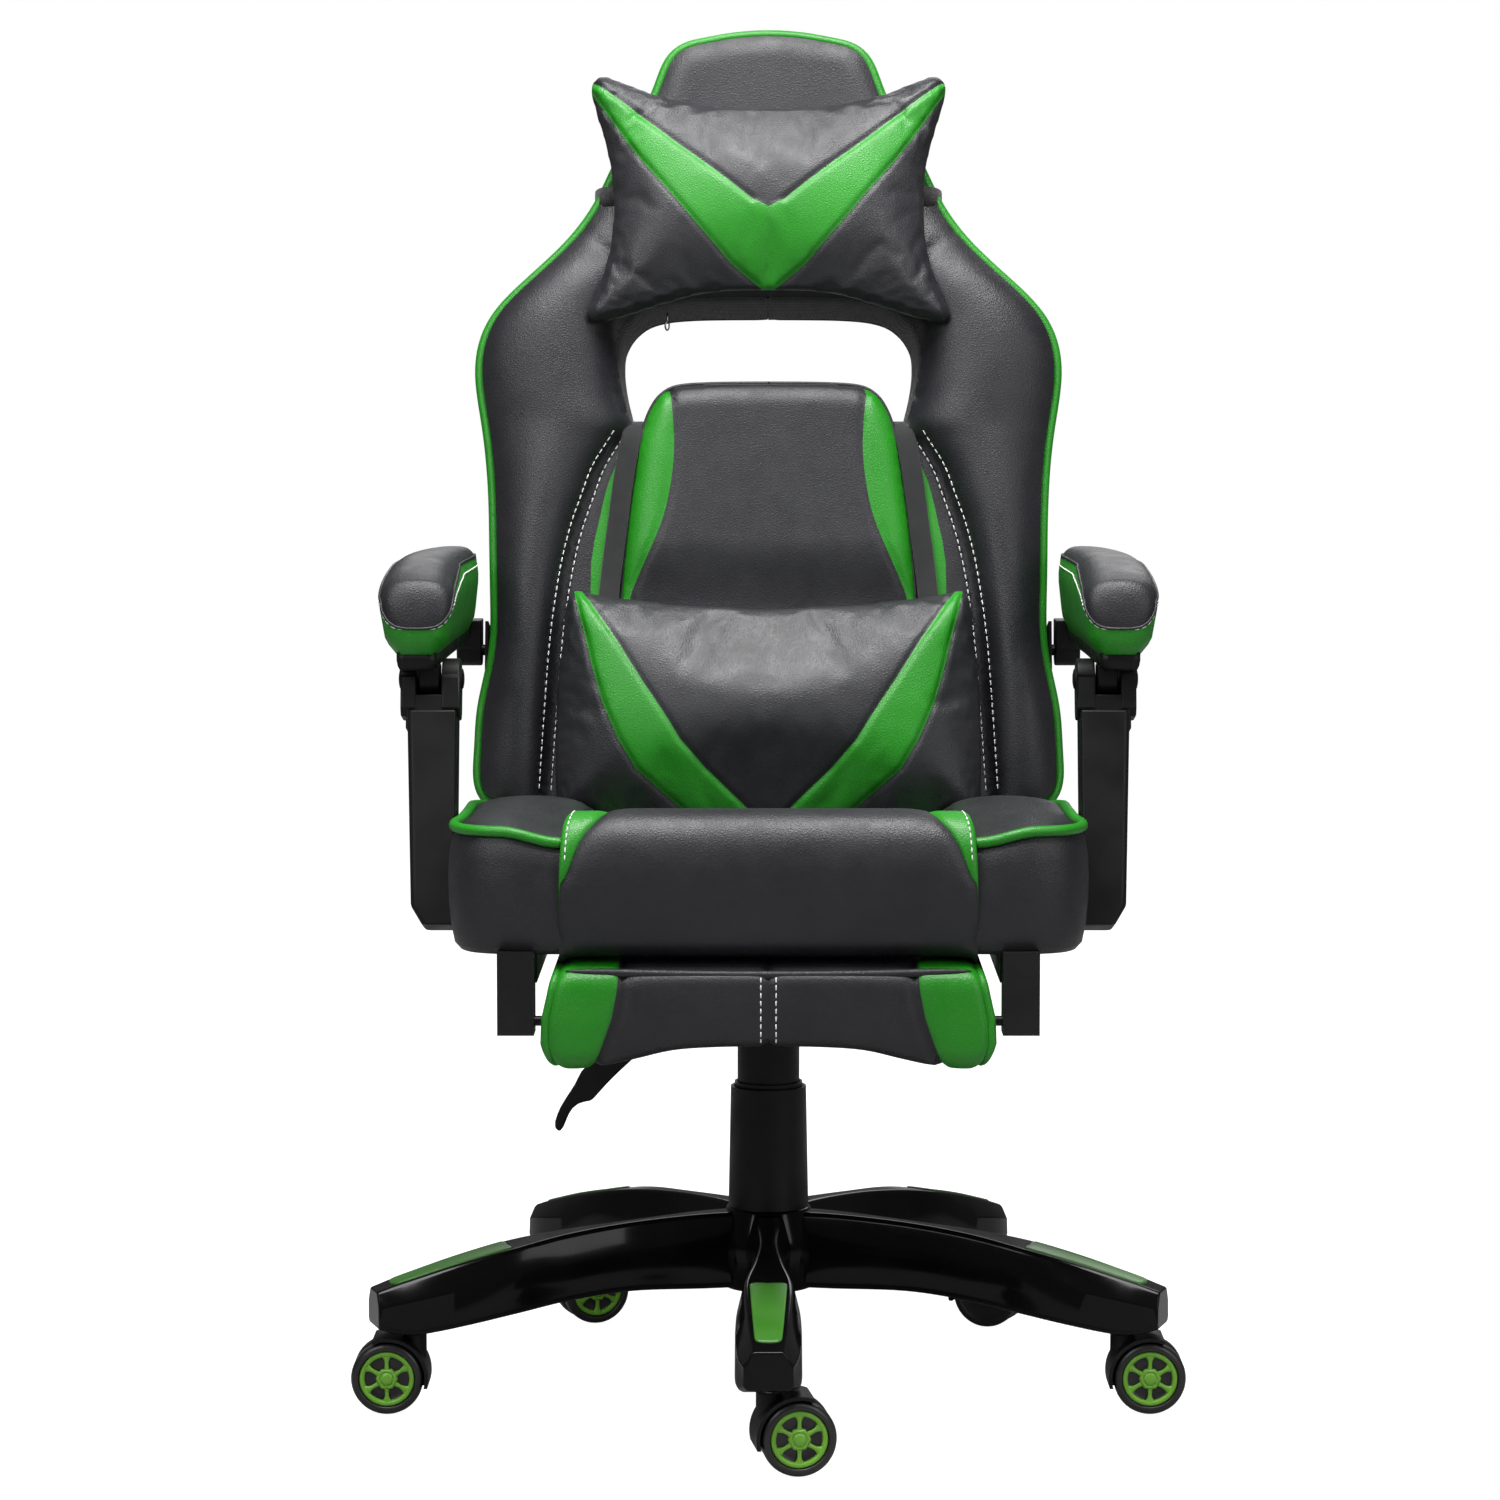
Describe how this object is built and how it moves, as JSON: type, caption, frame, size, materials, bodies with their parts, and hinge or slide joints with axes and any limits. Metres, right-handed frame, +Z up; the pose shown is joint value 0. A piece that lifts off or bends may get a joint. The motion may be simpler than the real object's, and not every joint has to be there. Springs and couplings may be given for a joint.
{
  "type": "gaming chair",
  "caption": "High-backed gaming chair with wing bolsters, head and lumbar pillows, linked armrests, pull-out footrest, gas column and a star base on twin-wheel casters.",
  "frame": {"origin": "on the floor under the axis of the gas column", "axes": "+Z up, the sitter faces -Y, +X is to the right of someone who looks at the chair's front"},
  "size_m": [0.6936, 0.762, 1.1694],
  "materials": {
    "black_leather": "fine-grained synthetic leather, soft sheen",
    "green_leather": "fine-grained synthetic leather, bright green",
    "white_thread": "twisted polyester thread",
    "black_mesh": "knitted spacer mesh",
    "black_webbing": "woven elastic webbing",
    "black_plastic": "moulded, fine spark texture",
    "base_nylon": "moulded nylon, satin gloss",
    "green_plastic": "moulded, bright green, satin gloss",
    "wheel_tread": "hard nylon tread",
    "black_steel": "black powder coat",
    "bright_steel": "zinc-plated, satin",
    "plywood": "bare birch plywood"
  },
  "bodies": {
    "base": {"star_base": "base_nylon", "base_inserts": "green_plastic", "gas_cylinder": "black_steel", "cover_lower": "black_plastic"},
    "cover_stage": {"cover_middle": "black_plastic"},
    "lift": {"gas_piston": "bright_steel", "cover_upper": "black_plastic"},
    "swivel": {"mechanism_housing": "black_steel", "tilt_pin": "bright_steel"},
    "tension_knob": {"tension_knob": "black_plastic"},
    "height_lever": {"height_lever": "black_steel"},
    "seat": {"seat_plate": "black_steel", "seat_board": "plywood", "seat_cushion": "black_leather", "seat_front_roll": "black_leather", "seat_bolsters": "black_leather", "recliner_brackets": "black_steel", "arm_brackets": "black_steel", "footrest_guides": "black_steel"},
    "recline_lever": {"recline_lever": "black_plastic"},
    "back": {"back_hoop": "black_steel", "back_brackets": "black_steel", "back_cushion": "black_leather", "back_shell": "black_leather", "centre_pad": "black_leather", "back_wings": "black_leather", "head_pillow": "black_leather", "lumbar_pillow": "black_leather"},
    "arm_post_left": {"arm_post_left": "black_plastic"},
    "arm_post_right": {"arm_post_right": "black_plastic"},
    "armrest_left": {"arm_tray_left": "black_plastic", "arm_pad_left": "black_leather"},
    "armrest_right": {"arm_tray_right": "black_plastic", "arm_pad_right": "black_leather"},
    "footrest_slide": {"footrest_rails": "black_steel"},
    "footrest": {"footrest_board": "plywood", "footrest_pad": "black_leather"},
    "caster_front_fork": {"caster_front_housing": "black_plastic", "caster_front_pins": "bright_steel"},
    "caster_front_wheels": {"caster_front_wheels": "wheel_tread", "caster_front_cap": "green_plastic"},
    "caster_right_fork": {"caster_right_housing": "black_plastic", "caster_right_pins": "bright_steel"},
    "caster_right_wheels": {"caster_right_wheels": "wheel_tread", "caster_right_cap": "green_plastic"},
    "caster_rear_right_fork": {"caster_rear_right_housing": "black_plastic", "caster_rear_right_pins": "bright_steel"},
    "caster_rear_right_wheels": {"caster_rear_right_wheels": "wheel_tread", "caster_rear_right_cap": "green_plastic"},
    "caster_rear_left_fork": {"caster_rear_left_housing": "black_plastic", "caster_rear_left_pins": "bright_steel"},
    "caster_rear_left_wheels": {"caster_rear_left_wheels": "wheel_tread", "caster_rear_left_cap": "green_plastic"},
    "caster_left_fork": {"caster_left_housing": "black_plastic", "caster_left_pins": "bright_steel"},
    "caster_left_wheels": {"caster_left_wheels": "wheel_tread", "caster_left_cap": "green_plastic"}
  },
  "joints": [
    {"name": "column_lift", "type": "slide", "parent": "base", "child": "lift", "axis": [0, 0, 1], "range_m": [0, 0.08]},
    {"name": "cover_extend", "type": "slide", "parent": "base", "child": "cover_stage", "axis": [0, 0, 1], "range_m": [0, 0.04]},
    {"name": "seat_swivel", "type": "hinge", "parent": "lift", "child": "swivel", "pos_m": [0, 0, 0.332], "axis": [0, 0, 1], "continuous": true},
    {"name": "tension_turn", "type": "hinge", "parent": "swivel", "child": "tension_knob", "pos_m": [0, -0.052, 0.32], "axis": [0, 0, 1], "continuous": true},
    {"name": "height_lever_pull", "type": "hinge", "parent": "swivel", "child": "height_lever", "pos_m": [-0.062, 0.0145, 0.352], "axis": [0, 1, 0], "range_deg": [0, 8], "stiffness_Nm_per_rad": 2, "springref_deg": -11.46},
    {"name": "seat_tilt", "type": "hinge", "parent": "swivel", "child": "seat", "pos_m": [0, -0.045, 0.368], "axis": [-1, 0, 0], "range_deg": [0, 12], "stiffness_Nm_per_rad": 260, "springref_deg": -20.05},
    {"name": "recline_lever_pull", "type": "hinge", "parent": "seat", "child": "recline_lever", "pos_m": [0, 0.215, 0.43], "axis": [-1, 0, 0], "range_deg": [0, 25], "stiffness_Nm_per_rad": 1, "springref_deg": -11.46},
    {"name": "back_recline", "type": "hinge", "parent": "seat", "child": "back", "pos_m": [0, 0.215, 0.43], "axis": [-1, 0, 0], "range_deg": [0, 45]},
    {"name": "arm_post_left_swing", "type": "hinge", "parent": "seat", "child": "arm_post_left", "pos_m": [-0.264, -0.15, 0.43], "axis": [-1, 0, 0], "range_deg": [0, 45]},
    {"name": "armrest_left_level", "type": "hinge", "parent": "back", "child": "armrest_left", "pos_m": [-0.264, 0.25707, 0.61221], "axis": [-1, 0, 0], "range_deg": [-45, 0]},
    {"name": "arm_post_right_swing", "type": "hinge", "parent": "seat", "child": "arm_post_right", "pos_m": [0.264, -0.15, 0.43], "axis": [-1, 0, 0], "range_deg": [0, 45]},
    {"name": "armrest_right_level", "type": "hinge", "parent": "back", "child": "armrest_right", "pos_m": [0.264, 0.25707, 0.61221], "axis": [-1, 0, 0], "range_deg": [-45, 0]},
    {"name": "footrest_extend", "type": "slide", "parent": "seat", "child": "footrest_slide", "axis": [0, -1, 0], "range_m": [0, 0.3]},
    {"name": "footrest_flip", "type": "hinge", "parent": "footrest_slide", "child": "footrest", "pos_m": [0, -0.262, 0.352], "axis": [-1, 0, 0], "range_deg": [0, 180]},
    {"name": "caster_front_swivel", "type": "hinge", "parent": "base", "child": "caster_front_fork", "pos_m": [0, -0.31, 0.06], "axis": [0, 0, 1], "continuous": true},
    {"name": "caster_front_roll", "type": "hinge", "parent": "caster_front_fork", "child": "caster_front_wheels", "pos_m": [0.02179, -0.30694, 0.03], "axis": [-0.1392, 0.9903, 0], "continuous": true},
    {"name": "caster_right_swivel", "type": "hinge", "parent": "base", "child": "caster_right_fork", "pos_m": [0.29483, -0.0958, 0.06], "axis": [0, 0, 1], "continuous": true},
    {"name": "caster_right_roll", "type": "hinge", "parent": "caster_right_fork", "child": "caster_right_wheels", "pos_m": [0.31683, -0.0958, 0.03], "axis": [0, 1, 0], "continuous": true},
    {"name": "caster_rear_right_swivel", "type": "hinge", "parent": "base", "child": "caster_rear_right_fork", "pos_m": [0.18221, 0.2508, 0.06], "axis": [0, 0, 1], "continuous": true},
    {"name": "caster_rear_right_roll", "type": "hinge", "parent": "caster_rear_right_fork", "child": "caster_rear_right_wheels", "pos_m": [0.20261, 0.24255, 0.03], "axis": [0.3746, 0.9272, 0], "continuous": true},
    {"name": "caster_rear_left_swivel", "type": "hinge", "parent": "base", "child": "caster_rear_left_fork", "pos_m": [-0.18221, 0.2508, 0.06], "axis": [0, 0, 1], "continuous": true},
    {"name": "caster_rear_left_roll", "type": "hinge", "parent": "caster_rear_left_fork", "child": "caster_rear_left_wheels", "pos_m": [-0.16154, 0.25832, 0.03], "axis": [-0.342, 0.9397, 0], "continuous": true},
    {"name": "caster_left_swivel", "type": "hinge", "parent": "base", "child": "caster_left_fork", "pos_m": [-0.29483, -0.0958, 0.06], "axis": [0, 0, 1], "continuous": true},
    {"name": "caster_left_roll", "type": "hinge", "parent": "caster_left_fork", "child": "caster_left_wheels", "pos_m": [-0.31683, -0.0958, 0.03], "axis": [0, -1, 0], "continuous": true}
  ],
  "couplings": [
    {"joint": "cover_extend", "follows": "column_lift", "ratio": 0.5},
    {"joint": "arm_post_left_swing", "follows": "back_recline", "ratio": 1},
    {"joint": "armrest_left_level", "follows": "back_recline", "ratio": -1},
    {"joint": "arm_post_right_swing", "follows": "back_recline", "ratio": 1},
    {"joint": "armrest_right_level", "follows": "back_recline", "ratio": -1}
  ]
}
